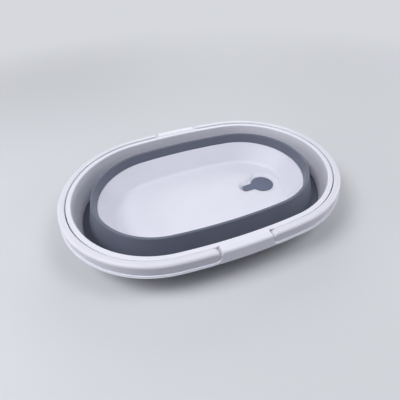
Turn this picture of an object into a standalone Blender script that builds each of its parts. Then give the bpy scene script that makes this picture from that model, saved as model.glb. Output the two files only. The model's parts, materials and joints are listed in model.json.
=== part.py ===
"""A collapsible oval tub, folded flat. A hard tray and a hard rim are joined by a folding
rubber wall. Two U-shaped handles swing up from a channel round the rim, and a rubber plug
closes the drain in the tray's floor.

Metres, +Z up. The tub stands on its feet at z = 0, centred on the origin, with its long axis
along X and the drain towards +X."""

import math

import bmesh
import bpy

# Plan outline, over the handles
LENGTH = 0.4600
WIDTH = 0.3208
SIDE_RADIUS = 0.8460  # of the two long sides

# Walls and fits
GAP = 0.0003  # between pieces that touch
WALL = 0.0022  # hard moulded walls
RUBBER = 0.0024  # the folding wall

# Heights, from the ground up, with the tub folded
FOOT_STAND = 0.0030  # what a foot shows below its socket
SOCKET_DEPTH = 0.0068
TRAY_DEPTH = 0.0343  # from the floor up to the tray's edge
FOLD_RISE = 0.0177  # from the tray's edge up to the fold's crest
RIM_RISE = 0.0015  # from the crest up to the rim
RIM_DEPTH = 0.0433  # from the rim's top down to its wall's foot
HANDLE_RISE = 0.0020  # how far the handles stand above the rim
HANDLE_HEIGHT = 0.0164
LIP_DROP = 0.0036  # from the handle's underside to the lip's lower edge

# Widths, from the outline inwards
LIP_REACH = 0.0021  # how far the lip stands outside the outline
HANDLE_SET_IN = 0.0002
HANDLE_WIDTH = 0.0104
GROOVE = 0.0011  # between the handle and the rim's ridge
RIDGE_WIDTH = 0.0075
RIM_LEAN = 0.0057  # the rim wall leans in by this much over its depth
CREVICE = 0.0101  # from the rim wall's foot to the folded wall
PANEL_LEAN = 0.0105  # the folded wall leans in by this much up to its joint
CREST_RADIUS = 0.00255
CREST_DROP = 0.0070  # from the crest down to the folding wall's joint
BEND_RADIUS = 0.0012  # inside the folded wall's lower bend
CROTCH = 0.0009  # width of the gap between the fold's two sheets, right under the crest
BAND_LEAN = 0.0029  # the band inside the crest leans in by this much
TRAY_LEAN = 0.0197  # the tray's wall leans in by this much
FLOOR_FILLET = 0.0170  # radius of the curve between the tray's wall and floor

# Handles and their hinges
HINGE_X = 0.0458  # of the hinge lines, each side of the middle
LIFT_ANGLE = 101.0  # degrees that a handle swings up
SPARE_ANGLE = 0.5  # degrees of room beyond that
SWING_CLEAR = 0.0005  # between a handle's round end and the rim's block
BLOCK_SHORT = 0.0050  # how far the block's foot stays short of the hinge line
HANDLE_EDGE = 0.0030  # rounding of the handle's upper outer edge
SMALL_EDGE = 0.0010  # rounding of the other moulded edges
KNUCKLE_LENGTH = 0.0140  # solid part of a handle beyond its hinge line
RIB = 0.0016  # ribs between the hollows under a handle
PIN_RADIUS = 0.0025
PIN_SEAT = 0.0066  # how deep a pin sits in its handle
BOSS_RADIUS = 0.0052  # round a pin, behind the rim's ridge
BOSS_REACH = 0.0048

# Drain and feet
DRAIN_FROM_WALL = 0.0285  # drain's centre to the end of the flat floor
DISH_RADIUS = 0.0300  # shallow dish round the drain
DISH_SLOPE = 0.0060  # width of the dish's sloping side
DISH_DEPTH = 0.0030
PLUG_RADIUS = 0.0200
PLUG_LIP = 0.0024  # thickness of the plug's flange
TAB_REACH = 0.0400  # from the drain's centre to the end of the plug's tab
TAB_WIDTH = 0.0145
TAB_ROOM = 0.0030  # free length of the recess beyond the tab, for a fingertip
DIMPLE_RADIUS = 0.0035
DIMPLE_DEPTH = 0.0008
PLUG_CLEAR = 0.0006  # round the plug's flange
BORE_RADIUS = 0.0150
STEM_DROP = 0.0045  # of the plug's stem, below its flange
FOOT_RADIUS = 0.0080
FOOT_SET_IN = 0.0150  # foot's centre to the side of the flat floor
FOOT_FROM_PLUG = 0.0200
RING_SET_IN = 0.0010  # the ring under the tray, inside the edge of its floor
RING_SHORT = 0.0010  # how far that ring stays above the feet's sockets

# Facets
END_STEPS = 12  # in a quarter of the outline, round the end
SIDE_STEPS = 2  # from there to the block between the handles, and again along half the block
KNUCKLE_STEPS = 4  # from a hinge line to the end of the handle's round end
KNUCKLE_SPAN = 77.0  # degrees of the round end that those steps cover
SWING_STEPS = 8  # round the hollow that a handle's end turns in
CREST_STEPS = 6
EDGE_STEPS = 2  # in the rounding of an edge
POCKET_STEPS = 4  # facets that a hollow under the handle spans
FILLET_STEPS = 4  # in the curve between the tray's wall and floor
ROUND_STEPS = 20  # round a pin, a foot or the drain
SHARP_ANGLE = 35.0  # degrees, above which two facets meet at an edge
DECIMALS = 9  # of a plan point in metres, so that mirrored points are exact twins

# Heights that follow
tray_under = FOOT_STAND + SOCKET_DEPTH
floor_top = tray_under + WALL
tray_edge = floor_top + TRAY_DEPTH
crest_top = tray_edge + FOLD_RISE
rim_top = crest_top + RIM_RISE
rim_foot = rim_top - RIM_DEPTH
handle_top = rim_top + HANDLE_RISE
handle_under = handle_top - HANDLE_HEIGHT
ledge_top = handle_under - GAP
lip_foot = handle_under - LIP_DROP
hinge_z = (handle_top + handle_under) / 2
knuckle_radius = HANDLE_HEIGHT / 2
shelf_top = rim_foot - GAP
joint_z = crest_top - CREST_DROP

# Insets from the outline that follow
handle_in = HANDLE_SET_IN + HANDLE_WIDTH
ridge_out = handle_in + GROOVE
ridge_in = ridge_out + RIDGE_WIDTH
foot_in = ridge_in + RIM_LEAN
foot_out = foot_in - WALL
panel_foot = foot_in + CREVICE
panel_top = panel_foot + PANEL_LEAN
panel_slope = PANEL_LEAN / (joint_z - shelf_top)
crest_centre_z = crest_top - CREST_RADIUS
crest_out = panel_top + panel_slope * (crest_centre_z - joint_z)
crest_in = crest_out + 2 * CREST_RADIUS
tray_in = crest_in + BAND_LEAN
floor_corner = tray_in + TRAY_LEAN  # where the wall's line would meet the floor
tray_slope = TRAY_LEAN / TRAY_DEPTH
floor_flat = floor_corner + FLOOR_FILLET * math.tan(math.atan2(1, tray_slope) / 2)
block_half = HINGE_X - BLOCK_SHORT

# The outline's arcs
half_length, half_width = LENGTH / 2, WIDTH / 2
end_radius = (2 * SIDE_RADIUS * half_width - half_length**2 - half_width**2) / (
    2 * (SIDE_RADIUS - half_length)
)
end_centre = half_length - end_radius
side_centre = SIDE_RADIUS - half_width
join = math.atan2(side_centre, end_centre)

drain_x = half_length - floor_flat - DRAIN_FROM_WALL
plug_top = floor_top - DISH_DEPTH
foot_x = drain_x - PLUG_RADIUS - FOOT_FROM_PLUG


def oval(turn, inset):
    """The plan point whose outward normal points along `turn`, `inset` inside the outline,
    which is an arc round each end and a flatter arc along each side."""
    along, across = abs(math.cos(turn)), abs(math.sin(turn))
    if math.atan2(across, along) <= join:
        x = end_centre + (end_radius - inset) * along
        y = (end_radius - inset) * across
    else:
        x = (SIDE_RADIUS - inset) * along
        y = (SIDE_RADIUS - inset) * across - side_centre
    x, y = math.copysign(x, math.cos(turn)), math.copysign(y, math.sin(turn))
    return round(x, DECIMALS), round(y, DECIMALS)


def side_turn(x):
    """The direction of the normal where a long side's channel passes x."""
    return math.acos(x / (SIDE_RADIUS - handle_in / 2))


def spread(start, end, steps):
    """Evenly spaced values from start to end, both included."""
    return [start + (end - start) * i / steps for i in range(steps + 1)]


def quarter_turns():
    """Directions of the normal over a quarter of the outline, from the end to the middle."""
    block = side_turn(block_half)
    end, side = spread(0, join, END_STEPS), spread(join, block, SIDE_STEPS)
    return end + side[1:] + spread(block, math.pi / 2, SIDE_STEPS)[1:]


def all_turns():
    """Directions of the normal right round the outline."""
    quarter = quarter_turns()
    half = quarter + [math.pi - turn for turn in reversed(quarter[:-1])]
    return half[:-1] + [turn + math.pi for turn in half[:-1]]


def material(name, colour, roughness):
    """A plain moulded plastic."""
    made = bpy.data.materials.new(name)
    made.use_nodes = True
    shader = made.node_tree.nodes["Principled BSDF"]
    shader.inputs["Base Color"].default_value = (*colour, 1)
    shader.inputs["Roughness"].default_value = roughness
    shader.inputs["Metallic"].default_value = 0
    return made


def add_object(name, bm, finish=None):
    """Close a bmesh into a named object. Without a finish it is a guide for a Boolean."""
    bmesh.ops.recalc_face_normals(bm, faces=bm.faces)
    mesh = bpy.data.meshes.new(name)
    bm.to_mesh(mesh)
    bm.free()
    made = bpy.data.objects.new(name, mesh)
    bpy.context.collection.objects.link(made)
    if finish:
        mesh.materials.append(finish)
        mesh.shade_smooth()
        mesh.set_sharp_from_angle(angle=math.radians(SHARP_ANGLE))
    else:
        made.hide_render = True
        made.display_type = "WIRE"
    return made


def skin(bm, loops, closed):
    """Quads between loops of as many points each. The last loop joins the first when closed,
    and otherwise both end loops are capped."""
    rows = [[bm.verts.new(point) for point in loop] for loop in loops]
    count = len(rows[0])
    for i in range(len(rows) if closed else len(rows) - 1):
        near, far = rows[i], rows[(i + 1) % len(rows)]
        for j in range(count):
            k = (j + 1) % count
            bm.faces.new((near[j], near[k], far[k], far[j]))
    if not closed:
        bm.faces.new(rows[0])
        bm.faces.new(rows[-1])


def hoop(name, outline, finish):
    """A closed (inset, height) outline carried right round the oval."""
    bm = bmesh.new()
    loops = [[(*oval(turn, inset), z) for turn in all_turns()] for inset, z in outline]
    skin(bm, loops, closed=True)
    return add_object(name, bm, finish)


def stretch(bm, outline, turns):
    """A closed (inset, height) outline carried along part of the oval, with flat ends."""
    skin(bm, [[(*oval(turn, inset), z) for inset, z in outline] for turn in turns], closed=False)


def prism(bm, points, low, high):
    """A plan outline raised from one height to another."""
    skin(bm, [[(x, y, z) for x, y in points] for z in (low, high)], closed=False)


def circle(x, y, radius):
    """Plan points of a circle."""
    angles = [2 * math.pi * i / ROUND_STEPS for i in range(ROUND_STEPS)]
    return [(x + radius * math.cos(a), y + radius * math.sin(a)) for a in angles]


def rod(bm, side, radius, out, into):
    """A rod along Y on a hinge line, between two insets. `side` gives the signs of x and y."""
    loops = []
    for inset in (out, into):
        y = math.sqrt((SIDE_RADIUS - inset) ** 2 - HINGE_X**2) - side_centre
        ring = circle(side[0] * HINGE_X, hinge_z, radius)
        loops.append([(x, side[1] * y, z) for x, z in ring])
    skin(bm, loops, closed=False)


def cut(target, tool, operation="DIFFERENCE"):
    """Add a Boolean with a guide to an object."""
    modifier = target.modifiers.new(tool.name, "BOOLEAN")
    modifier.operation = operation
    modifier.object = tool


def rounded(corner, before, after, radius, steps):
    """Points of the arc that rounds a corner between its two neighbours."""
    arms = []
    for other in (before, after):
        length = math.dist(corner, other)
        arms.append([(o - c) / length for o, c in zip(other, corner)])
    bend = math.acos(max(-1, min(1, arms[0][0] * arms[1][0] + arms[0][1] * arms[1][1])))
    reach = radius / math.tan(bend / 2)
    middle = [(a + b) / 2 for a, b in zip(*arms)]
    scale = radius / math.sin(bend / 2) / math.hypot(*middle)
    centre = [c + m * scale for c, m in zip(corner, middle)]
    ends = [[c + reach * d for c, d in zip(corner, arm)] for arm in arms]
    start, stop = (math.atan2(e[1] - centre[1], e[0] - centre[0]) for e in ends)
    sweep = (stop - start + math.pi) % (2 * math.pi) - math.pi
    angles = [start + sweep * i / steps for i in range(steps + 1)]
    return [(centre[0] + radius * math.cos(a), centre[1] + radius * math.sin(a)) for a in angles]


def soften(corners, steps=EDGE_STEPS):
    """An outline from (x, y, radius) corners, those with a radius rounded."""
    points = []
    for i, (x, y, radius) in enumerate(corners):
        before, after = corners[i - 1][:2], corners[(i + 1) % len(corners)][:2]
        points += rounded((x, y), before, after, radius, steps) if radius else [(x, y)]
    return points


SIDES = [(x, y) for x in (-1, 1) for y in (-1, 1)]
SIDE_NAMES = {-1: ("left", "front"), 1: ("right", "back")}


def side_name(side):
    """Words for a corner of the plan, such as left_front."""
    return f"{SIDE_NAMES[side[0]][0]}_{SIDE_NAMES[side[1]][1]}"


# Tray


def keyhole(grow, longer=0):
    """Plan outline of the plug's flange, a disc with a tab towards the middle, enlarged."""
    radius, half = PLUG_RADIUS + grow, TAB_WIDTH / 2 + grow
    open_angle = math.pi - math.asin(half / radius)
    disc = spread(-open_angle, open_angle, ROUND_STEPS)
    end_x = drain_x - (TAB_REACH + longer - TAB_WIDTH / 2)
    tip = spread(math.pi / 2, 3 * math.pi / 2, ROUND_STEPS // 2)
    points = [(drain_x + radius * math.cos(a), radius * math.sin(a)) for a in disc]
    return points + [(end_x + half * math.cos(a), half * math.sin(a)) for a in tip]


def foot_places():
    """Plan positions of the four feet."""
    inset = floor_flat + FOOT_SET_IN
    y = math.sqrt((SIDE_RADIUS - inset) ** 2 - foot_x**2) - side_centre
    return [(side, side[0] * foot_x, side[1] * y) for side in SIDES]


def tray_outline():
    """Half section of the tray, from the middle of its floor over its wall to the underside."""
    ring = floor_flat + RING_SET_IN
    low = FOOT_STAND + RING_SHORT
    under_corner = floor_corner - WALL * (1 - tray_slope)
    open_ended = [
        (ring + WALL, floor_top, 0),
        (floor_corner, floor_top, FLOOR_FILLET),
        (tray_in, tray_edge, 0),
        (tray_in - WALL, tray_edge, 0),
        (under_corner, tray_under, FLOOR_FILLET),
        (ring, tray_under, 0),
        (ring, low, 0),
        (ring + WALL, low, 0),
        (ring + WALL, tray_under, 0),
    ]
    return soften(open_ended, FILLET_STEPS)


def make_tray(finish):
    """The tray: floor, sloping wall, foot ring, four foot sockets and the drain's seat."""
    bm = bmesh.new()
    turns = all_turns()
    skin(bm, [[(*oval(t, inset), z) for t in turns] for inset, z in tray_outline()], False)
    tray = add_object("base_tray", bm, finish)

    seat_floor = plug_top - PLUG_LIP - GAP
    bosses, seat = bmesh.new(), bmesh.new()
    inside = floor_top - WALL / 2
    for _, x, y in foot_places():
        prism(bosses, circle(x, y, FOOT_RADIUS + GAP + WALL), FOOT_STAND, inside)
    prism(bosses, circle(drain_x, 0, DISH_RADIUS), plug_top - WALL, inside)
    cut(tray, add_object("tray_bosses", bosses), "UNION")
    prism(seat, keyhole(PLUG_CLEAR + WALL, TAB_ROOM), seat_floor - WALL, inside)
    cut(tray, add_object("drain_seat", seat), "UNION")

    hollows, dish, bore = bmesh.new(), bmesh.new(), bmesh.new()
    below, above = FOOT_STAND - WALL, floor_top + WALL
    for _, x, y in foot_places():
        prism(hollows, circle(x, y, FOOT_RADIUS + GAP), below, tray_under)
    prism(hollows, keyhole(PLUG_CLEAR, TAB_ROOM), seat_floor, above)
    cut(tray, add_object("tray_hollows", hollows))
    rings = [(DISH_RADIUS - DISH_SLOPE, plug_top)]
    rings.append((DISH_RADIUS + WALL * DISH_SLOPE / DISH_DEPTH, above))
    skin(dish, [[(*p, z) for p in circle(drain_x, 0, radius)] for radius, z in rings], closed=False)
    cut(tray, add_object("drain_dish", dish))
    prism(bore, circle(drain_x, 0, BORE_RADIUS), below, above)
    cut(tray, add_object("drain_bore", bore))


def make_feet(finish):
    """Four soft feet, pressed into the tray's sockets."""
    chamfer = SMALL_EDGE
    for side, x, y in foot_places():
        bm = bmesh.new()
        rings = ((FOOT_RADIUS - chamfer, 0), (FOOT_RADIUS, chamfer), (FOOT_RADIUS, tray_under - GAP))
        skin(bm, [[(*p, z) for p in circle(x, y, radius)] for radius, z in rings], closed=False)
        add_object(f"foot_{side_name(side)}", bm, finish)


def make_plug(finish):
    """The plug: a keyhole flange flush with the drain's dish, and a hollow stem in the drain."""
    under = plug_top - PLUG_LIP
    bm = bmesh.new()
    prism(bm, keyhole(0), under, plug_top)
    plug = add_object("drain_plug", bm, finish)

    stem = bmesh.new()
    low = under - STEM_DROP
    prism(stem, circle(drain_x, 0, BORE_RADIUS - GAP), low, under + PLUG_LIP / 2)
    cut(plug, add_object("plug_stem", stem), "UNION")

    hollows = bmesh.new()
    prism(hollows, circle(drain_x, 0, BORE_RADIUS - GAP - RUBBER), low - WALL, under)
    tip_x = drain_x - (TAB_REACH - TAB_WIDTH / 2)
    dimple = circle(tip_x, 0, DIMPLE_RADIUS)
    prism(hollows, dimple, plug_top - DIMPLE_DEPTH, plug_top + WALL)
    cut(plug, add_object("plug_hollows", hollows))


# Folding wall


def crest_outline():
    """Section of the fixed part of the fold: its crest, and the band down to the tray."""
    band_slope = BAND_LEAN / (crest_centre_z - tray_edge)
    middle = crest_out + CREST_RADIUS
    arc = spread(math.pi, 0, CREST_STEPS)
    over = [
        (middle + CREST_RADIUS * math.cos(a), crest_centre_z + CREST_RADIUS * math.sin(a)) for a in arc
    ]
    foot = tray_edge + GAP
    foot_inset = tray_in - band_slope * GAP
    apex = (CROTCH - 2 * CREST_RADIUS + 2 * RUBBER) / (band_slope + panel_slope)
    apex_z = crest_centre_z - apex
    return (
        [(panel_top, joint_z)]
        + over
        + [
            (foot_inset, foot),
            (foot_inset - RUBBER, foot),
            (crest_in + band_slope * apex - RUBBER, apex_z),
            (crest_out - panel_slope * apex + RUBBER, apex_z),
            (panel_top + RUBBER, joint_z),
        ]
    )


def panel_outline():
    """Section of the wall that turns over: a shelf under the rim's foot, and the panel."""
    top = joint_z - GAP
    top_inset = panel_top - panel_slope * GAP
    under = shelf_top - RUBBER
    return soften(
        [
            (foot_out, shelf_top, 0),
            (panel_foot, shelf_top, BEND_RADIUS),
            (top_inset, top, 0),
            (top_inset + RUBBER, top, 0),
            (panel_foot + RUBBER, under, BEND_RADIUS + RUBBER),
            (foot_out, under, 0),
        ]
    )


# Rim


def rim_outline():
    """Section of the rim beside a handle: inner wall, ridge, channel, ledge and lip."""
    lip_out = -LIP_REACH
    return soften(
        [
            (ridge_out, rim_top, SMALL_EDGE),
            (ridge_in, rim_top, SMALL_EDGE),
            (foot_in, rim_foot, 0),
            (foot_out, rim_foot, 0),
            (ridge_in - WALL, rim_top - WALL, 0),
            (ridge_out + WALL, rim_top - WALL, 0),
            (ridge_out + WALL, ledge_top - WALL, 0),
            (lip_out + WALL, ledge_top - WALL, 0),
            (lip_out + WALL, lip_foot, 0),
            (lip_out, lip_foot, 0),
            (lip_out, lip_foot + SMALL_EDGE, 0),
            (HANDLE_SET_IN, ledge_top, 0),
            (ridge_out, ledge_top, 0),
        ]
    )


def block_outline():
    """Section of the solid length of rim between the handles' ends, as high as the handles."""
    inside = rim_top - WALL / 2
    return soften(
        [
            (-LIP_REACH, lip_foot, 0),
            (HANDLE_SET_IN - SMALL_EDGE, ledge_top, 0),
            (HANDLE_SET_IN, handle_top, HANDLE_EDGE),
            (ridge_out, handle_top, HANDLE_EDGE),
            (ridge_in - WALL, rim_top, 0),
            (ridge_in - WALL, inside, 0),
            (ridge_out + WALL / 2, inside, 0),
            (ridge_out + WALL / 2, lip_foot, 0),
        ]
    )


def swing_room(bm, sign):
    """The room that a handle's end needs, as a shape seen along Y: its round end, and the
    handle itself when it is raised all the way."""
    radius = knuckle_radius + SWING_CLEAR
    lean = math.radians(LIFT_ANGLE + SPARE_ANGLE)
    along = (math.cos(lean), math.sin(lean))
    reach = 2 * HANDLE_HEIGHT
    arc = spread(lean + math.pi / 2, 3 * math.pi / 2, SWING_STEPS)
    shape = [(radius * math.cos(a), radius * math.sin(a)) for a in arc]
    shape += [(reach, -radius), (reach, reach)]
    shape.append((shape[0][0] + reach * along[0], shape[0][1] + reach * along[1]))
    for side in (-1, 1):
        near, far = side * half_width / 2, side * WIDTH
        loops = [[(sign * (HINGE_X + x), y, hinge_z + z) for x, z in shape] for y in (near, far)]
        skin(bm, loops, closed=False)


def make_rim(finish):
    """The rim: a hoop with a block each side between the handles' ends, hollow below, and
    a bored boss behind the ridge for each hinge pin."""
    rim = hoop("rim_frame", rim_outline(), finish)

    turns = quarter_turns()[-SIDE_STEPS - 1 :]
    middle = turns + [math.pi - turn for turn in reversed(turns[:-1])]
    blocks = bmesh.new()
    for half_turn in (0, math.pi):
        stretch(blocks, block_outline(), [turn + half_turn for turn in middle])
    block = add_object("rim_blocks", blocks)
    for sign in (-1, 1):
        room = bmesh.new()
        swing_room(room, sign)
        cut(block, add_object(f"swing_room_{SIDE_NAMES[sign][0]}", room))
    cut(rim, block, "UNION")

    cores = bmesh.new()
    core_half = HINGE_X - knuckle_radius - SWING_CLEAR - WALL
    core_out = HANDLE_SET_IN + WALL
    core = [(core_out, lip_foot - WALL), (core_out, handle_top - 2 * WALL)]
    core += [(ridge_out, handle_top - 2 * WALL), (ridge_out, lip_foot - WALL)]
    ends = spread(side_turn(core_half), math.pi - side_turn(core_half), 2 * SIDE_STEPS)
    for half_turn in (0, math.pi):
        stretch(cores, core, [turn + half_turn for turn in ends])
    cut(rim, add_object("block_cores", cores))

    bosses, bores = bmesh.new(), bmesh.new()
    for side in SIDES:
        boss_end = ridge_out + BOSS_REACH
        rod(bosses, side, BOSS_RADIUS, ridge_out + WALL / 2, boss_end)
        rod(bores, side, PIN_RADIUS + GAP, ridge_out - WALL, boss_end + GAP)
    cut(rim, add_object("pin_bosses", bosses), "UNION")
    cut(rim, add_object("pin_bores", bores))


# Handles


def handle_outline():
    """Section of a handle, a bar with a well rounded upper outer edge."""
    return soften(
        [
            (HANDLE_SET_IN, handle_under, SMALL_EDGE),
            (HANDLE_SET_IN, handle_top, HANDLE_EDGE),
            (handle_in, handle_top, SMALL_EDGE),
            (handle_in, handle_under, SMALL_EDGE),
        ]
    )


def handle_section(turn):
    """The handle's section at one direction, squeezed to the knuckle's circle where it lies
    past the hinge line."""
    points = []
    for inset, z in handle_outline():
        x, y = oval(turn, inset)
        past = max(HINGE_X - abs(x), 0)
        squeeze = math.sqrt(max(knuckle_radius**2 - past**2, 0)) / knuckle_radius
        points.append((x, y, hinge_z + (z - hinge_z) * squeeze))
    return points


def handle_turns():
    """Directions along half a handle, from its middle to the end of its knuckle."""
    angles = spread(0, math.radians(KNUCKLE_SPAN), KNUCKLE_STEPS)
    past_hinge = [side_turn(HINGE_X - knuckle_radius * math.sin(a)) for a in angles]
    before = side_turn(HINGE_X + KNUCKLE_LENGTH / 2)
    return [turn for turn in quarter_turns() if turn < before] + past_hinge


def pockets():
    """Start and end directions of the hollows under half a handle."""
    edges = spread(0, join, END_STEPS // POCKET_STEPS)
    edges.append(side_turn(HINGE_X + KNUCKLE_LENGTH))
    shrink = RIB / 2 / end_radius
    return [(start + shrink, end - shrink) for start, end in zip(edges[:-2], edges[1:-1])] + [
        (edges[-2] + RIB / 2 / SIDE_RADIUS, edges[-1])
    ]


def make_handle(sign, finish):
    """A handle round one end: a bar hollow below between ribs, with a bored knuckle at each
    end, and its two hinge pins."""
    name = SIDE_NAMES[sign][0]
    base = 0 if sign > 0 else math.pi
    half = handle_turns()
    turns = [-turn for turn in reversed(half[1:])] + half
    bm = bmesh.new()
    skin(bm, [handle_section(base + turn) for turn in turns], closed=False)
    handle = add_object(f"handle_{name}", bm, finish)

    hollow = [(HANDLE_SET_IN + WALL, handle_under - WALL), (HANDLE_SET_IN + WALL, handle_top - WALL)]
    hollow += [(handle_in - WALL, handle_top - WALL), (handle_in - WALL, handle_under - WALL)]
    hollows = bmesh.new()
    for start, end in pockets():
        inner = [turn for turn in quarter_turns() if start < turn < end]
        for way in (-1, 1):
            stretch(hollows, hollow, [base + way * turn for turn in [start, *inner, end]])
    cut(handle, add_object(f"hollows_{name}", hollows))

    bores = bmesh.new()
    for way in (-1, 1):
        seat = handle_in - PIN_SEAT
        rod(bores, (sign, way), PIN_RADIUS + GAP, seat - GAP, handle_in + GROOVE / 2)
        pin = bmesh.new()
        rod(pin, (sign, way), PIN_RADIUS, seat, ridge_out + BOSS_REACH - GAP)
        add_object(f"hinge_pin_{side_name((sign, way))}", pin, finish)
    cut(handle, add_object(f"bores_{name}", bores))


def clear_scene():
    """Remove every object of the open file."""
    for old in list(bpy.data.objects):
        bpy.data.objects.remove(old, do_unlink=True)


clear_scene()
white = material("white_polypropylene", (0.78, 0.79, 0.86), 0.32)
grey = material("grey_rubber", (0.10, 0.11, 0.15), 0.60)
make_tray(white)
make_feet(grey)
make_plug(grey)
hoop("fold_crest", crest_outline(), grey)
hoop("folding_wall", panel_outline(), grey)
make_rim(white)
make_handle(-1, white)
make_handle(1, white)
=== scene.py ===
"""The looks of an oval tub that folds flat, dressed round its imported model. The sections follow
the tub as it is put together: tray, feet, plug, fold, folding wall, rim, handles. Sizes are in
metres."""

import json
import math

import bmesh
import bpy
import numpy as np
from mathutils import Matrix, Vector


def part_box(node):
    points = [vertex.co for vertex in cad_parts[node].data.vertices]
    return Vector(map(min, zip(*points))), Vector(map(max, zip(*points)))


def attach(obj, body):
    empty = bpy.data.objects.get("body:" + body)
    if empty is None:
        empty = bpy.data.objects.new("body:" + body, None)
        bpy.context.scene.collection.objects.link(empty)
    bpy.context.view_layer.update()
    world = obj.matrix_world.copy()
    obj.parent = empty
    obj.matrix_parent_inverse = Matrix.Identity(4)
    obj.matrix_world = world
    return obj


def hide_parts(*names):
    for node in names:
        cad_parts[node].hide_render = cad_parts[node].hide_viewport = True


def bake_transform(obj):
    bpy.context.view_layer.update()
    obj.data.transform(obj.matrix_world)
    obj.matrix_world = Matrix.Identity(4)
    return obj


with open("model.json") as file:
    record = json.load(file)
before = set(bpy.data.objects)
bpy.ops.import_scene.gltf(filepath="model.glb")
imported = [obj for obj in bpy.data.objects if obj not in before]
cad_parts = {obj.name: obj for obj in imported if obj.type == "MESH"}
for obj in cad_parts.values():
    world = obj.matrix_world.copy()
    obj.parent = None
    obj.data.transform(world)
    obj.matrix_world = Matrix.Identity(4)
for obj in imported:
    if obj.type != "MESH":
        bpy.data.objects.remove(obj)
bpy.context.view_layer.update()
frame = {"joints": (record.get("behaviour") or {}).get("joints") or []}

# Tray. One moulding of white polypropylene, 2.2 mm thick: an oval floor with a sloping wall, a
# ring that stiffens the underside and four sockets for the feet. A shallow dish leads the water
# to the drain, whose recess has the plug's keyhole shape.

WALL = 0.0022
SIDE_RADIUS = 0.8460  # of the two long sides of the plan
LIP_REACH = 0.0021  # how far the rim's lip stands outside the plan
TRAY_LEAN = 0.0197  # the tray's wall leans in by this much
FLOOR_FILLET = 0.0080
RING_SET_IN = 0.0010  # from the end of that fillet to the ring underneath
RING_SHORT = 0.0010  # how far the ring stays above the feet's sockets
DISH_RADIUS = 0.0300
DISH_SLOPE = 0.0070  # width of the dish's sloping side
DISH_BEYOND_TAB = 0.0090  # how far the dish reaches round the end of the plug's tab
DISH_DEPTH = 0.0030
PLUG_RADIUS = 0.0200
TAB_WIDTH = 0.0145  # of the plug's tab
TAB_ROOM = 0.0030  # free length of the recess beyond the tab, for a fingertip
NECK_RADIUS = 0.0060  # where the tab meets the plug's disc
PLUG_LIP = 0.0024  # thickness of the plug's flange
PLUG_CLEAR = 0.0006  # between the flange and its recess
BORE_RADIUS = 0.0150  # of the drain
FOOT_RADIUS = 0.0080
GAP = 0.0003  # between pieces that touch
EDGE = 0.0008  # rounding of the tray's free edges
RECESS_EDGE = 0.0020  # and of the floor's edge round the plug
APRON = 0.0021  # width of the even rows that follow that edge
COLUMNS = 400  # facets round the oval
SAME = 1e-6  # points nearer than this are one point
HOLD = 0.00025  # a point this far past an arc keeps the flat beside it flat in the shading
CREASE = 45  # degrees past which an edge is drawn sharp

rim_low, rim_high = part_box("rim_frame")
half_length, half_width = rim_high.x - LIP_REACH, rim_high.y - LIP_REACH
# The end arcs have the radius at which they meet the side arcs without a kink.
end_radius = (2 * SIDE_RADIUS * half_width - half_length**2 - half_width**2) / (
    2 * (SIDE_RADIUS - half_length)
)
end_centre = half_length - end_radius
side_centre = SIDE_RADIUS - half_width
join = math.atan2(side_centre, end_centre)  # direction in which an end's arc meets a side's
arc_turns = np.array([0, join, math.pi - join, math.pi + join, 2 * math.pi - join, 2 * math.pi])
arc_radii = np.array([end_radius, SIDE_RADIUS, end_radius, SIDE_RADIUS, end_radius])
arc_lengths = np.concatenate([[0], np.cumsum(np.diff(arc_turns) * arc_radii)])

tray_box, foot_box, plug_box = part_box("base_tray"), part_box("foot_right_front"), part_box("drain_plug")
tray_edge, tray_in = tray_box[1].z, half_length - tray_box[1].x + WALL
plug_top = plug_box[1].z
floor_top = plug_top + DISH_DEPTH
tray_under = foot_box[1].z + GAP
floor_corner = tray_in + TRAY_LEAN
tray_slope = TRAY_LEAN / (tray_edge - floor_top)
floor_flat = floor_corner + FLOOR_FILLET * math.tan(math.atan2(1, tray_slope) / 2)
ring = floor_flat + RING_SET_IN
drain_x = plug_box[1].x - PLUG_RADIUS
tab_reach = drain_x - plug_box[0].x
seat_floor = plug_top - PLUG_LIP - GAP


def oval(turn, inset):
    """Plan points whose outward normal points along `turn`, `inset` inside the plan. The plan is
    an arc of end_radius round each end, with its centre end_centre from the middle, and an arc
    of SIDE_RADIUS along each side."""
    along, across = np.abs(np.cos(turn)), np.abs(np.sin(turn))
    on_end = np.arctan2(across, along) <= join
    x = np.where(on_end, end_centre + (end_radius - inset) * along, (SIDE_RADIUS - inset) * along)
    y = np.where(on_end, (end_radius - inset) * across, (SIDE_RADIUS - inset) * across - side_centre)
    return np.copysign(x, np.cos(turn)), np.copysign(y, np.sin(turn))


def hoop(turns, outline):
    """An outline of (inset, height) points carried along the oval: a grid with a row for each
    point of the outline and a column for each direction."""
    inset, height = outline[:, :1], outline[:, 1:]
    x, y = oval(turns[None, :], inset)
    return np.stack([x, y, np.broadcast_to(height, x.shape)], axis=-1)


def rounded(corners, steps=8):
    """The outline through (inset, height, radius) corners. A corner with a radius becomes an
    arc: its centre lies on the corner's bisector at radius / sin(half the corner), and it ends
    where it touches the two straights, with a holding point on each of them."""
    corners = np.array(corners, float)
    spots, outline = corners[:, :2], []
    for i, (spot, radius) in enumerate(zip(spots, corners[:, 2])):
        if radius == 0:
            outline.append(spot[None])
            continue
        before, after = spots[i - 1] - spot, spots[(i + 1) % len(spots)] - spot
        before, after = before / np.linalg.norm(before), after / np.linalg.norm(after)
        half = math.acos(np.clip(before @ after, -1, 1)) / 2
        middle = (before + after) / np.linalg.norm(before + after)
        side = (after - before) / np.linalg.norm(after - before)
        turn = np.linspace(-1, 1, steps + 1)[:, None] * (math.pi / 2 - half)
        centre = spot + middle * radius / math.sin(half)
        arc = centre - radius * (middle * np.cos(turn) - side * np.sin(turn))
        reach = radius / math.tan(half) + HOLD
        outline += [(spot + before * reach)[None], arc, (spot + after * reach)[None]]
    return np.concatenate(outline)


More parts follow.
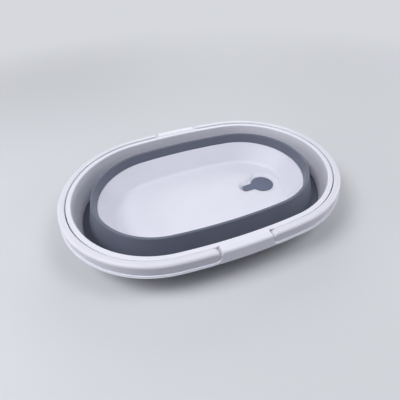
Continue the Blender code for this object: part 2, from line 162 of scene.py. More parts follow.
def filled(outline, longest):
    """The outline with points added evenly along each straight that is over `longest`."""
    parts = [outline[:1]]
    for start, end in zip(outline[:-1], outline[1:]):
        count = math.ceil(np.linalg.norm(end - start) / longest)
        parts.append(start + (end - start) * np.arange(1, count + 1)[:, None] / count)
    return np.concatenate(parts)


def make_piece(name, grids, finish):
    """A piece with one closed surface, or a few, from grids of points with the two directions
    in which each grid is joined round. Each four neighbours make a quad, points that meet are
    merged, and the faces are turned outwards."""
    bm = bmesh.new()
    for points, (joined_rows, joined_columns) in grids:
        rows, columns = points.shape[:2]
        i, j = np.indices((rows - 1 + joined_rows, columns - 1 + joined_columns))
        up, on = (i + 1) % rows, (j + 1) % columns
        quads = np.stack([i * columns + j, i * columns + on, up * columns + on, up * columns + j])
        part = bpy.data.meshes.new(name)
        part.from_pydata(points.reshape(-1, 3).tolist(), [], quads.reshape(4, -1).T.tolist())
        bm.from_mesh(part)
        bpy.data.meshes.remove(part)
    bmesh.ops.remove_doubles(bm, verts=bm.verts, dist=SAME)
    bmesh.ops.recalc_face_normals(bm, faces=bm.faces)
    mesh = bpy.data.meshes.new(name)
    bm.to_mesh(mesh)
    bm.free()
    mesh.shade_smooth()
    mesh.set_sharp_from_angle(angle=math.radians(CREASE))
    mesh.materials.append(finish)
    piece = bpy.data.objects.new(name, mesh)
    bpy.context.scene.collection.objects.link(piece)
    return piece


def stand_for(piece, node, body):
    """The piece replaces a CAD node and rides on its body."""
    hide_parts(node)
    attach(piece, body)


def linear(hex_colour):
    """An sRGB hex colour as linear red, green, blue and alpha: each channel c is c / 12.92 up to
    0.04045, and ((c + 0.055) / 1.055) to the power 2.4 above it."""
    channels = np.array([int(hex_colour[i : i + 2], 16) for i in (0, 2, 4)]) / 255
    bright = ((channels + 0.055) / 1.055) ** 2.4
    return (*np.where(channels <= 0.04045, channels / 12.92, bright), 1.0)


def add_node(tree, kind, inputs=(), **settings):
    """A new node with its own settings. Each input is a value, or the output that feeds it."""
    made = tree.nodes.new(kind)
    for name, value in settings.items():
        setattr(made, name, value)
    for socket, value in dict(inputs).items():
        if isinstance(value, bpy.types.NodeSocket):
            tree.links.new(value, made.inputs[socket])
        else:
            made.inputs[socket].default_value = value
    return made


def clouded(name, colours, cloud_size, detail):
    """A material whose colour drifts between two in soft clouds of a given size. With it come
    its shader, the place on the piece, and the clouds as a value from 0 to 1."""
    made = bpy.data.materials.new(name)
    made.use_nodes = True
    tree = made.node_tree
    shader = tree.nodes["Principled BSDF"]
    spot = add_node(tree, "ShaderNodeTexCoord").outputs["Object"]
    cloud = add_node(
        tree, "ShaderNodeTexNoise", {"Vector": spot, "Scale": 1 / cloud_size, "Detail": detail}
    ).outputs["Fac"]
    mixed = {0: cloud, 6: linear(colours[0]), 7: linear(colours[1])}
    tint = add_node(tree, "ShaderNodeMix", mixed, data_type="RGBA")
    tree.links.new(tint.outputs[2], shader.inputs["Base Color"])
    return made, shader, spot, cloud


def polypropylene(name, colours, roughness):
    """Injection-moulded polypropylene, satin from the mould. The melt's flow leaves a faint
    cloudiness about 45 mm across, the mould's polish leaves patches of gloss about 9 mm across
    and a fine grain, drawn at 0.7 mm because the real 0.1 mm would not show, and use leaves
    hair scratches about 17 mm long."""
    gloss_size, grain_size, grain_depth = 0.009, 0.0007, 0.0001
    gloss_spread = 0.05  # of the roughness, to either side
    hairs_per_metre = (60.0, 2400.0, 900.0)  # along, across and down
    hair_turn = 0.5  # radians from the tub's long axis
    hair_start, hair_full, hair_depth = 0.66, 0.72, 0.5  # only where their pattern is at its highest
    made, shader, spot, _ = clouded(name, colours, cloud_size=0.045, detail=3.0)
    tree = made.node_tree
    polish = add_node(
        tree, "ShaderNodeTexNoise", {"Vector": spot, "Scale": 1 / gloss_size, "Detail": 4.0}
    ).outputs["Fac"]
    gloss = add_node(
        tree,
        "ShaderNodeMapRange",
        {"Value": polish, "To Min": roughness - gloss_spread, "To Max": roughness + gloss_spread},
    )
    tree.links.new(gloss.outputs["Result"], shader.inputs["Roughness"])

    grain = add_node(
        tree, "ShaderNodeTexNoise", {"Vector": spot, "Scale": 1 / grain_size, "Detail": 2.0}
    ).outputs["Fac"]
    stretched = add_node(
        tree,
        "ShaderNodeMapping",
        {"Vector": spot, "Rotation": (0.0, 0.0, hair_turn), "Scale": hairs_per_metre},
    ).outputs["Vector"]
    hairs = add_node(tree, "ShaderNodeTexNoise", {"Vector": stretched, "Scale": 1.0}).outputs["Fac"]
    hair_range = {"From Min": hair_start, "From Max": hair_full, "To Min": 0.0, "To Max": -hair_depth}
    scratch = add_node(tree, "ShaderNodeMapRange", {"Value": hairs, **hair_range}).outputs["Result"]
    relief = add_node(tree, "ShaderNodeMath", {0: grain, 1: scratch}, operation="ADD")
    bump = add_node(
        tree,
        "ShaderNodeBump",
        {"Height": relief.outputs["Value"], "Strength": 0.12, "Distance": grain_depth},
    )
    tree.links.new(bump.outputs["Normal"], shader.inputs["Normal"])
    shader.inputs["IOR"].default_value = 1.49
    return made


def keyhole(reach, count):
    """Points evenly spaced round the plug's flange, from its side away from the tab and
    anticlockwise, with their outward normals and the point of the flange's spine that each lies
    over. The outline is a disc, a concave arc of NECK_RADIUS that touches the disc and the
    tab's side, the tab's straight side, and the tab's round end, mirrored below."""
    half = TAB_WIDTH / 2
    neck_y = half + NECK_RADIUS
    neck_x = math.sqrt((PLUG_RADIUS + NECK_RADIUS) ** 2 - neck_y**2)
    open_turn = math.pi - math.atan2(neck_y, neck_x)
    tip_x = reach - half
    fine = np.linspace(0, 1, 200)
    disc = np.stack([PLUG_RADIUS * np.cos(fine * open_turn), PLUG_RADIUS * np.sin(fine * open_turn)])
    neck_turn = open_turn - math.pi + fine * (-math.pi / 2 - open_turn + math.pi)
    neck = np.stack([np.cos(neck_turn), np.sin(neck_turn)]) * NECK_RADIUS
    neck += [[-neck_x], [neck_y]]
    side = np.stack([-neck_x + fine * (neck_x - tip_x), np.full_like(fine, half)])
    tip_turn = math.pi / 2 + fine * math.pi / 2
    tip = np.stack([-tip_x + half * np.cos(tip_turn), half * np.sin(tip_turn)])
    upper = np.concatenate([disc, neck[:, 1:], side[:, 1:], tip[:, 1:]], axis=1)
    spine = [np.zeros_like(fine), -fine[1:] * neck_x, side[0, 1:], np.full_like(fine[1:], -tip_x)]
    spine = np.concatenate(spine)

    length = np.concatenate([[0], np.cumsum(np.linalg.norm(np.diff(upper), axis=0))])
    way = np.arange(count) / count * 2 * length[-1]
    below = way > length[-1]
    way = np.where(below, 2 * length[-1] - way, way)
    points = np.stack([np.interp(way, length, row) for row in upper], axis=1)
    points[:, 1] *= np.where(below, -1, 1)
    feet = np.stack([np.interp(way, length, spine), np.zeros(count)], axis=1)
    tangent = np.roll(points, -1, axis=0) - np.roll(points, 1, axis=0)
    normal = np.stack([tangent[:, 1], -tangent[:, 0]], axis=1)
    normal /= np.linalg.norm(normal, axis=1)[:, None]
    return points + [drain_x, 0], normal, feet + [drain_x, 0]


def disc_edge(radius, count):
    """Plan points of a circle round the drain, matched in number to the keyhole's."""
    turn = np.arange(count) / count * 2 * math.pi
    return np.stack([drain_x + radius * np.cos(turn), radius * np.sin(turn)], axis=1)


def smooth_step(t):
    """3t^2 - 2t^3, held at 0 and 1 outside the range of t from 0 to 1."""
    t = np.clip(t, 0, 1)
    return t * t * (3 - 2 * t)


def dish_drop(plan):
    """How far the dish lies below the floor. Its outline is a circle round the drain that
    narrows smoothly to a smaller one round the end of the plug's tab. It has its full depth
    inside, and a smooth step of the distance up its sloping side."""
    spine = tab_reach - TAB_WIDTH / 2
    share = np.clip((drain_x - plan[..., 0]) / spine, 0, 1)
    away = np.hypot(plan[..., 0] - drain_x + share * spine, plan[..., 1])
    narrowing = DISH_RADIUS - TAB_WIDTH / 2 - DISH_BEYOND_TAB
    radius = DISH_RADIUS - narrowing * smooth_step(share)
    return DISH_DEPTH * (1 - smooth_step((away - radius + DISH_SLOPE) / DISH_SLOPE))


def shares(rows, crowding=1):
    """Even shares of a way, the whole of it last, raised to a power that crowds them together at
    its start."""
    return (np.arange(1, rows + 1) / rows) ** crowding


def between(start, end, parts):
    """Rows of plan points, each at its own share of the way from one closed line to another."""
    return start + (end - start) * np.asarray(parts)[:, None, None]


def raised(plan, height):
    """Plan points with a height each, or one height for all."""
    return np.concatenate([plan, np.broadcast_to(height, plan.shape[:-1])[..., None]], axis=-1)


def turned(outline, place, steps=64):
    """A closed outline of (radius, height) points turned round an upright line at `place`."""
    turn = np.linspace(0, 2 * math.pi, steps, endpoint=False)
    radius, height = outline[:, :1], outline[:, 1:]
    x, y = place[0] + radius * np.cos(turn), place[1] + radius * np.sin(turn)
    return np.stack([x, y, np.broadcast_to(height, x.shape)], axis=-1)


tray_white = polypropylene("satin_polypropylene_tray", ("E6E6F1", "DFDFEC"), roughness=0.36)
even_turns = np.interp(np.arange(COLUMNS) / COLUMNS * arc_lengths[-1], arc_lengths, arc_turns)
recess, recess_normal, _ = keyhole(tab_reach + TAB_ROOM, COLUMNS)
bore = disc_edge(BORE_RADIUS, COLUMNS)
curl = np.linspace(0, math.pi / 2, 7)[:, None, None]  # directions round a rounded edge

recess_edge = recess + recess_normal * PLUG_CLEAR
lip_plan = recess_edge + recess_normal * RECESS_EDGE * (1 - np.cos(curl))
lip_height = floor_top - dish_drop(lip_plan) - RECESS_EDGE * (1 - np.sin(curl[..., 0]))
apron_steps = shares(rows=4, crowding=1.4)[:, None, None]
apron = recess_edge + recess_normal * (RECESS_EDGE + APRON * apron_steps)
floor_edge = np.stack(oval(even_turns, floor_flat + HOLD), axis=-1)
floor_plan = between(apron[-1], floor_edge, shares(rows=55, crowding=2.2))
wall_outline = rounded(
    [
        (floor_flat + HOLD, floor_top, 0),
        (floor_corner, floor_top, FLOOR_FILLET),
        (tray_in, tray_edge, EDGE),
        (tray_in - WALL, tray_edge, EDGE / 2),
        (floor_corner - WALL * (1 - tray_slope), tray_under, FLOOR_FILLET),
        (ring, tray_under, EDGE / 2),
        (ring, tray_box[0].z + RING_SHORT, EDGE),
        (ring + WALL, tray_box[0].z + RING_SHORT, EDGE),
        (ring + WALL, tray_under, EDGE / 2),
        (ring + WALL + EDGE, tray_under, 0),
    ],
    steps=12,
)[1:]
wall_rows = hoop(even_turns, wall_outline)
inner_side = np.arange(len(wall_outline)) <= np.argmax(wall_outline[:, 1])
wall_rows[inner_side, :, 2] -= dish_drop(wall_rows[inner_side, :, :2])

skirt = recess_edge + recess_normal * WALL
skirt_foot = seat_floor - WALL
under_edge = np.stack(oval(even_turns, ring + WALL + EDGE), axis=-1)
under_plan = between(under_edge, skirt, shares(rows=8))
seat_plan = between(recess_edge, bore, [0, *shares(rows=12, crowding=1.6)])[::-1]


def scoop(plan):
    """How far the recess's floor curves up past the end of the plug's tab, for a fingertip: a
    concave quarter circle of TAB_ROOM."""
    past = np.clip(drain_x - tab_reach - plan[..., 0], 0, TAB_ROOM)
    return TAB_ROOM - np.sqrt(TAB_ROOM**2 - past**2)


tray_rows = [
    raised(seat_plan, seat_floor + scoop(seat_plan)),
    raised(recess_edge[None], seat_floor + GAP + scoop(recess_edge)[None]),
    raised(lip_plan, lip_height),
    raised(apron, floor_top - dish_drop(apron)),
    raised(floor_plan[:-1], floor_top - dish_drop(floor_plan[:-1])),
    wall_rows,
    raised(under_plan, tray_under - dish_drop(under_plan)),
    raised(skirt[None], skirt_foot + EDGE),
    raised(skirt[None] - recess_normal * EDGE, skirt_foot),
    raised(between(skirt - recess_normal * EDGE, bore, shares(rows=3)), skirt_foot),
]
socket_outline = rounded(
    [
        (FOOT_RADIUS + GAP, tray_box[0].z, EDGE / 2),
        (FOOT_RADIUS + GAP + WALL, tray_box[0].z, EDGE / 2),
        (FOOT_RADIUS + GAP + WALL, tray_under + WALL / 2, 0),
        (FOOT_RADIUS + GAP, tray_under + WALL / 2, 0),
    ]
)
foot_names = [f"foot_{end}_{side}" for end in ("left", "right") for side in ("front", "back")]
foot_places = {name: (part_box(name)[0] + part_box(name)[1]) / 2 for name in foot_names}
sockets = [(turned(socket_outline, place), (True, True)) for place in foot_places.values()]
tray = make_piece("tray", [(np.concatenate(tray_rows), (True, True)), *sockets], tray_white)
stand_for(tray, "base_tray", "base")

# Feet. Four soft buttons of grey rubber, pressed into the tray's sockets from below, with a
# rounded rim and a shallow cup in the underside that holds on by suction.

FOOT_EDGE = 0.0010
CUP_RADIUS = 0.0045
CUP_DEPTH = 0.0007


def soft_rubber(name, colours, roughness):
    """Moulded thermoplastic rubber, matt from a blasted mould. It has a fine grain, drawn at
    0.6 mm because the real 0.1 mm would not show, a cloudiness about 30 mm across where it has
    been handled, and a soft sheen towards its edges."""
    grain_size, grain_depth = 0.0006, 0.0001
    touch_spread = 0.06  # of the roughness, to either side
    made, shader, spot, cloud = clouded(name, colours, cloud_size=0.030, detail=5.0)
    tree = made.node_tree
    touch = add_node(
        tree,
        "ShaderNodeMapRange",
        {"Value": cloud, "To Min": roughness - touch_spread, "To Max": roughness + touch_spread},
    )
    tree.links.new(touch.outputs["Result"], shader.inputs["Roughness"])
    grain = add_node(
        tree, "ShaderNodeTexNoise", {"Vector": spot, "Scale": 1 / grain_size, "Detail": 3.0}
    ).outputs["Fac"]
    relief = {"Height": grain, "Strength": 0.25, "Distance": grain_depth}
    bump = add_node(tree, "ShaderNodeBump", relief)
    tree.links.new(bump.outputs["Normal"], shader.inputs["Normal"])
    shader.inputs["IOR"].default_value = 1.50
    shader.inputs["Sheen Weight"].default_value = 0.15
    shader.inputs["Sheen Roughness"].default_value = 0.5
    return made


foot_rubber = soft_rubber("matt_rubber_foot", ("5E626E", "666A77"), roughness=0.62)
foot_outline = rounded(
    [
        (0, foot_box[0].z + CUP_DEPTH, 0),
        (CUP_RADIUS - CUP_DEPTH, foot_box[0].z + CUP_DEPTH, CUP_DEPTH / 2),
        (CUP_RADIUS, foot_box[0].z, CUP_DEPTH / 2),
        (FOOT_RADIUS, foot_box[0].z, FOOT_EDGE),
        (FOOT_RADIUS, foot_box[1].z, FOOT_EDGE / 2),
        (0, foot_box[1].z, 0),
    ]
)
for name, place in foot_places.items():
    foot = make_piece(f"{name}_rubber", [(turned(foot_outline, place), (False, True))], foot_rubber)
    stand_for(foot, name, "base")

# Drain plug. A keyhole-shaped flange of grey rubber that lies in the tray's recess, with a
# hollow stem moulded below it that grips the drain's bore, and a dimple in its pull tab.

STEM_DROP = 0.0045
STEM_WALL = 0.0024
STEM_TAPER = 0.3  # share of that wall that each of its foot's two chamfers takes
PLUG_EDGE = 0.0008
DIMPLE_RADIUS = 0.0036
DIMPLE_DEPTH = 0.0009

plug_rubber = soft_rubber("matt_rubber_plug", ("5B6379", "646C83"), roughness=0.55)
flange, flange_normal, spine = keyhole(tab_reach, COLUMNS)
under = plug_top - PLUG_LIP


def plug_height(plan):
    """The flange's top: flat, with a bowl near the tab's end that is a cosine of the distance
    from the dimple's middle."""
    away = np.linalg.norm(plan - [drain_x - tab_reach + TAB_WIDTH / 2, 0], axis=-1)
    bowl = 0.5 + 0.5 * np.cos(math.pi * np.clip(away / DIMPLE_RADIUS, 0, 1))
    return plug_top - DIMPLE_DEPTH * bowl


flange_flat = flange - flange_normal * (PLUG_EDGE + HOLD)
flange_top = between(spine, flange_flat, [0, *shares(rows=14)])
flange_curl = flange - flange_normal * PLUG_EDGE * (1 - np.sin(curl))
stem_out, stem_in = (disc_edge(BORE_RADIUS - GAP - inset, COLUMNS) for inset in (0, STEM_WALL))
plug_rows = [
    raised(flange_top, plug_height(flange_top)),
    raised(flange_curl, plug_top - PLUG_EDGE * (1 - np.cos(curl[..., 0]))),
    raised(flange[None], under + PLUG_EDGE / 2),
    raised(flange[None] - flange_normal * PLUG_EDGE / 2, under),
    raised(between(flange - flange_normal * PLUG_EDGE, stem_out, [0, *shares(rows=3)]), under),
    raised(stem_out[None], under - STEM_DROP + PLUG_EDGE),
    raised(between(stem_out, stem_in, [STEM_TAPER, 1 - STEM_TAPER]), under - STEM_DROP),
    raised(stem_in[None], under - STEM_DROP + PLUG_EDGE),
    raised(stem_in[None], under),
    raised(between(stem_in, disc_edge(0, COLUMNS), shares(rows=2)), under),
]
plug = make_piece("plug", [(np.concatenate(plug_rows), (False, True))], plug_rubber)
stand_for(plug, "drain_plug", "plug")

# Fold. The fixed part of the soft wall: a band of grey rubber, moulded onto the tray's edge,
# that rises to a rounded crest and turns down again to the line on which the wall folds.

RUBBER = 0.0024  # thickness of the soft wall
PANEL_LEAN = 0.0105  # how far the folded panel leans in on its way up
BAND_SET_BACK = 0.0012  # the tray's edge shows as a fine white line inside the rubber
CREST_RADIUS = 0.00255
CREVICE = 0.0101  # from the foot of the rim's wall to the folded panel
RIM_LEAN = 0.0057  # how far the rim's wall leans in on its way down
RIDGE_WIDTH = 0.0075
GROOVE = 0.0011  # between the rim's ridge and a handle
HANDLE_WIDTH = 0.0104
HANDLE_SET_IN = 0.0002  # of a handle's outer face from the plan
ROW_SPACING = 0.0020

fold_rubber = soft_rubber("matt_rubber_fold", ("5C6170", "646A7C"), roughness=0.60)
wall_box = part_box("folding_wall")
crest_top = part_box("fold_crest")[1].z
joint_z, shelf_top = wall_box[1].z, rim_low.z - GAP
handle_in = HANDLE_SET_IN + HANDLE_WIDTH
ridge_out = handle_in + GROOVE
ridge_in = ridge_out + RIDGE_WIDTH
foot_in = ridge_in + RIM_LEAN
panel_foot = foot_in + CREVICE
panel_top = panel_foot + PANEL_LEAN
crest_z = crest_top - CREST_RADIUS
panel_slope = PANEL_LEAN / (joint_z - shelf_top)
crest_out = panel_top + panel_slope * (crest_z - joint_z)
crest_arc = np.linspace(math.pi, 0, 25)[:, None]
crest_ring = np.array([[crest_out + CREST_RADIUS, crest_z]]) + CREST_RADIUS * np.concatenate(
    [np.cos(crest_arc), np.sin(crest_arc)], axis=1
)
band_foot = tray_in - BAND_SET_BACK
crest_in = crest_out + 2 * CREST_RADIUS
inner_line = [
    (band_foot, tray_edge + GAP),
    (band_foot - RUBBER, tray_edge + GAP),
    (crest_in - RUBBER, crest_z - RUBBER),
    (crest_out + RUBBER, crest_z - RUBBER),
    (panel_top + RUBBER, joint_z),
]
crest_outline = np.concatenate([[(panel_top, joint_z)], crest_ring, inner_line])
crest_rows = hoop(even_turns, filled(crest_outline, ROW_SPACING))
crest = make_piece("fold_crest_rubber", [(crest_rows, (True, True))], fold_rubber)
stand_for(crest, "fold_crest", "base")

# Folding wall. The rest of the soft wall, of the same rubber: a panel that leans down from the
# fold to a shelf under the rim's foot. On the tub it turns over when the rim is pulled up; here
# it is built only as it lies folded, and stays so.

BEND = 0.0012
PANEL_SPACING = 0.0012  # of the panel's rows, close because it stretches

panel_outline = rounded(
    [
        (foot_in - WALL, shelf_top, 0),
        (panel_foot, shelf_top, BEND),
        (panel_top, joint_z, 0),
        (panel_top + RUBBER, joint_z, 0),
        (panel_foot + RUBBER, shelf_top - RUBBER, BEND + RUBBER),
        (foot_in - WALL, shelf_top - RUBBER, 0),
    ]
)
panel_rows = hoop(even_turns, filled(panel_outline, PANEL_SPACING))
panel = make_piece("folding_wall_rubber", [(panel_rows, (True, True))], fold_rubber)
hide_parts("folding_wall")
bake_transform(panel)

# Rim. One moulding of white polypropylene, an upturned gutter with a ridge round the mouth and
# a ledge outside it that carries the handles. Between the handles' ends it is built up to
# their height as a smooth block, hollow below.

RIM_DROP = 0.0020  # from the handles' top down to the ridge
LIP_DROP = 0.0036  # from the handles' underside down to the lip's edge
CORNER = 0.0010  # rounding of the ridge towards the handles
RIDGE_EDGE = 0.0020  # and towards the mouth
RIDGE_FLAT = 0.0030  # width of the ridge that is left beside a block
DRAFT = 0.0001  # upright walls lean by this much, so that the moulding leaves the mould
BLOCK_EDGE = 0.0040  # rounding of the block's top towards the outside
BLOCK_FOOT = 0.0015  # rounding where the block's face meets the lip
SLOPE_TOP, SLOPE_FOOT = 0.0060, 0.0040  # roundings of the slope from the block to the ridge
BLOCK_BULGE = 0.0018  # how far the block's face stands out at the level of the ledge
LEDGE_OUT = 0.0014  # and the ledge's edge under the handles
LEDGE_EDGE = 0.0005  # rounding of that edge
BEAD = 0.0013  # height of the bead that stiffens the lip's lower edge
BEAD_EDGE = 0.0003
SOFT_END = 0.0020  # height over which the top of a block's end is rounded off
FADE_START, FADE_END = 0.0360, 0.0430  # where the ridge beside a block sinks to its own height
END_ROUND = 0.0012  # rounding of the block's outer upright edge
END_LEAN = 101.5  # degrees that the block's end leans, to clear the raised handle
END_FALL = 3  # fall of the block's end past the hinge line, for one across
SWING_CLEAR = 0.0002  # between a handle's round end and the block
STEEP = 30  # rise of the sides of a moulded hollow, for one across
CORE_SIDE = 0.0012  # width within which the hollow under a block reaches its full height
FINE_COLUMN = 0.00028  # spacing of the sections where a block's end is shaped
FINE_REACH = 0.0020  # how far those sections go on past the block's end
SIDE_COLUMNS, END_COLUMNS = 13, 64
BOSS_RADIUS = 0.0052  # of the bosses behind the ledge that hold the hinge pins
BOSS_REACH = 0.0048  # of a boss, from the ledge's inner side
PIN_RADIUS = 0.0025

hinge = next(j for j in frame["joints"] if j["name"] == "right_handle_swing")
hinge_x, hinge_z = hinge["pos_m"][0], hinge["pos_m"][2]
handle_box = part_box("handle_right")
handle_top, handle_under = handle_box[1].z, handle_box[0].z
knuckle_radius = (handle_top - handle_under) / 2
rim_top, rim_foot = handle_top - RIM_DROP, rim_low.z
ledge_top, lip_foot = handle_under - GAP, handle_under - LIP_DROP
core_half = hinge_x - knuckle_radius - SWING_CLEAR - WALL
core_rise = handle_top - WALL - ledge_top

block_line = rounded(
    [
        (-LIP_REACH, lip_foot, 0),
        (-BLOCK_BULGE, ledge_top, BLOCK_FOOT),
        (HANDLE_SET_IN, handle_top, BLOCK_EDGE),
        (ridge_out, handle_top, SLOPE_TOP),
        (ridge_in - RIDGE_FLAT, rim_top, SLOPE_FOOT),
        (ridge_in, rim_top, 0),
    ]
)


def block_height(x, inset, plain):
    """Height of the block's top at a place on the rim whose plain height is given. Along the rim
    it is the block's own section, cut off at the room that a handle's end needs: an arc of the
    knuckle's radius round the hinge line, then a leaning straight above it. The two are joined
    by a soft minimum, lower than the lesser by (soft - difference)^2 / 4 soft. Near the outer
    face the cut is pulled in by a quarter circle, which rounds the upright edge. On the ridge,
    which no handle sweeps, the block instead sinks to the plain height by a smooth step."""
    near_face = np.clip(1 - (inset + BLOCK_BULGE) / END_ROUND, 0, 1)
    pull = END_ROUND * (1 - np.sqrt(1 - near_face**2))
    into = hinge_x - np.abs(x) - pull
    radius = knuckle_radius + SWING_CLEAR
    lean = math.radians(END_LEAN)
    arc_end = radius * math.sin(lean)
    arc = hinge_z - np.sqrt(radius**2 - np.clip(into, 0, arc_end) ** 2)
    steep = np.maximum(into - arc_end, 0) * -math.tan(lean) + np.minimum(into, 0) * END_FALL
    room = arc + steep
    own = np.interp(inset, block_line[:, 0], block_line[:, 1])
    soft = np.maximum(SOFT_END - np.abs(room - own), 0) ** 2 / (4 * SOFT_END)
    kept = smooth_step((FADE_END - np.abs(x)) / (FADE_END - FADE_START))
    ridge = plain + np.maximum(own - plain, 0) * kept
    return np.where(inset > ridge_out, ridge, np.minimum(room, own) - soft)


def core_height(x, inset):
    """How far the hollow under a block rises at a place: fully inside, with steep sides."""
    sides = [core_half - np.abs(x), inset - HANDLE_SET_IN - WALL, ridge_out - inset]
    return np.clip(np.minimum.reduce(sides) * STEEP, 0, core_rise)


def all_round(quarter):
    """Directions over a quarter of the oval, mirrored to run right round it."""
    half = np.concatenate([quarter, math.pi - quarter[-2::-1]])
    return np.concatenate([half[:-1], half[:-1] + math.pi])


def flat_rows(start, end, count, height):
    """Corners without a radius, evenly spaced on the level stretch between two insets."""
    return [(inset, height, 0) for inset in np.linspace(start, end, count + 2)[1:-1]]


side_radius = SIDE_RADIUS - handle_in / 2  # of the handle's middle line
fine_x = np.arange(hinge_x + FINE_REACH, core_half - FINE_REACH, -FINE_COLUMN)
outer_x = np.linspace(side_radius * math.cos(join), fine_x[0], SIDE_COLUMNS)[1:-1]
inner_x = np.linspace(fine_x[-1], 0, SIDE_COLUMNS)[1:]
side_x = np.concatenate([outer_x, fine_x, inner_x])
end_turns = np.linspace(0, join, END_COLUMNS)
rim_turns = all_round(np.concatenate([end_turns, np.arccos(side_x / side_radius)]))

edge_curl = 1 - np.cos(np.linspace(0, math.pi / 2, 10))
block_rows = [(HANDLE_SET_IN + BLOCK_EDGE * share, ledge_top, 0) for share in edge_curl[::-1]]
core_rows = [
    (inset, ledge_top - WALL, 0)
    for edge, way in ((HANDLE_SET_IN + WALL, 1), (ridge_out, -1))
    for inset in sorted((edge, edge + way * core_rise / STEEP, edge + way * CORE_SIDE))
]
rim_outline = rounded(
    [
        (foot_in - WALL, rim_foot, EDGE / 2),
        (foot_in, rim_foot, EDGE),
        (ridge_in, rim_top, RIDGE_EDGE),
        *flat_rows(ridge_in - RIDGE_EDGE, ridge_out + CORNER, 7, rim_top),
        (ridge_out + DRAFT, rim_top, CORNER),
        (ridge_out, ledge_top, EDGE / 2),
        *flat_rows(ridge_out - EDGE, HANDLE_SET_IN + BLOCK_EDGE, 8, ledge_top),
        *block_rows,
        *flat_rows(HANDLE_SET_IN, LEDGE_EDGE + HOLD - LEDGE_OUT, 8, ledge_top),
        (-LEDGE_OUT, ledge_top, LEDGE_EDGE),
        (-LEDGE_OUT - DRAFT, lip_foot + BEAD, 0),
        (-LIP_REACH, lip_foot + BEAD, BEAD_EDGE),
        (-LIP_REACH, lip_foot, EDGE / 2),
        (-LIP_REACH + WALL, lip_foot, EDGE / 4),
        (-LIP_REACH + WALL, ledge_top - WALL, EDGE / 4),
        *core_rows,
        (ridge_out + WALL, ledge_top - WALL, EDGE / 2),
        (ridge_out + WALL, rim_top - WALL, EDGE),
        (ridge_in - WALL, rim_top - WALL, EDGE),
    ],
    steps=6,
)
rim_rows = hoop(rim_turns, rim_outline)
rim_inset = np.broadcast_to(rim_outline[:, :1], rim_rows.shape[:2])
upper = slice(np.argmax(rim_outline[:, 1]), np.argmin(rim_outline[:, 0]) + 1)
plain_height = rim_rows[upper, :, 2]
rim_rows[upper, :, 2] = np.maximum(
    plain_height, block_height(rim_rows[upper, :, 0], rim_inset[upper], plain_height)
)
ceiling = np.abs(rim_outline[:, 1] - ledge_top + WALL) < SAME
ceiling &= rim_outline[:, 0] < ridge_out + SAME
rim_rows[ceiling, :, 2] += core_height(rim_rows[ceiling, :, 0], rim_inset[ceiling])


def side_y(inset, x):
    """How far from the middle a side's arc lies, at a given inset and a place along the tub."""
    return np.sqrt((SIDE_RADIUS - inset) ** 2 - x**2) - side_centre


def rod(outline, sign_x, sign_y, steps=48):
    """A closed outline of (radius, inset) points turned round the hinge line on one corner."""
    turn = np.linspace(0, 2 * math.pi, steps, endpoint=False)
    radius, y = outline[:, :1], sign_y * side_y(outline[:, 1:], hinge_x)
    x, z = sign_x * hinge_x + radius * np.cos(turn), hinge_z + radius * np.sin(turn)
    return np.stack([x, np.broadcast_to(y, x.shape), z], axis=-1)


boss_outline = rounded(
    [
        (PIN_RADIUS + GAP, ridge_out + WALL, 0),
        (BOSS_RADIUS, ridge_out + WALL, 0),
        (BOSS_RADIUS, ridge_out + BOSS_REACH, EDGE),
        (PIN_RADIUS + GAP, ridge_out + BOSS_REACH, EDGE / 4),
    ]
)
corners = [(x, y) for x in (-1, 1) for y in (-1, 1)]
bosses = [(rod(boss_outline, x, y), (True, True)) for x, y in corners]
rim_white = polypropylene("satin_polypropylene_rim", ("EBEBF5", "E4E5F0"), roughness=0.33)
rim = make_piece("rim", [(rim_rows, (True, True)), *bosses], rim_white)
stand_for(rim, "rim_frame", "rim")

# Handles. Two U-shaped bars of white polypropylene that lie on the rim's ledge and swing up on
# their hinge pins. Each is hollow below between ribs, and ends in a solid round knuckle.

HANDLE_EDGE = 0.0040  # rounding of the bar's top towards the outside
HANDLE_IN_EDGE = 0.0018  # and towards the ridge
HANDLE_BASE_EDGE = 0.0012
KNUCKLE_LENGTH = 0.0140  # of the solid end, from the hinge line
RIB = 0.0016  # between two hollows
POCKETS = 3  # hollows round a quarter of the end, beside the one along the side
PIN_SEAT = 0.0066  # how deep a pin sits in its handle
BAR_STOP = 0.0030  # how far short of the hinge line the bar meets its knuckle
BAR_SECTIONS = 90  # from the end's middle to there
SWING_STEPS = 40  # round a knuckle
CORNER_STEPS = 10
TOP_ROWS = 14  # over the flat between two rounded corners

handle_white = polypropylene("satin_polypropylene_handle", ("E5E4EE", "DEDEE9"), roughness=0.38)


def half_section(edge_out, edge_in):
    """Half of a handle's section as (width, reach) points, where reach is the distance from the
    level of the hinge line. It runs from that level on the outer face, over both rounded
    corners, to that level on the inner face."""
    reach = knuckle_radius
    line = rounded(
        [(0, 0, 0), (0, reach, edge_out), (HANDLE_WIDTH, reach, edge_in), (HANDLE_WIDTH, 0, 0)],
        steps=CORNER_STEPS,
    )
    cut = CORNER_STEPS + 4  # the start, the outer corner's arc and its two holding points
    before, over = line[:cut], line[cut:]
    flat = np.linspace(before[-1], over[0], TOP_ROWS + 2)[1:-1]
    return np.concatenate([before, flat, over])


top_half = half_section(HANDLE_EDGE, HANDLE_IN_EDGE)
bottom_half = half_section(HANDLE_BASE_EDGE, HANDLE_BASE_EDGE)


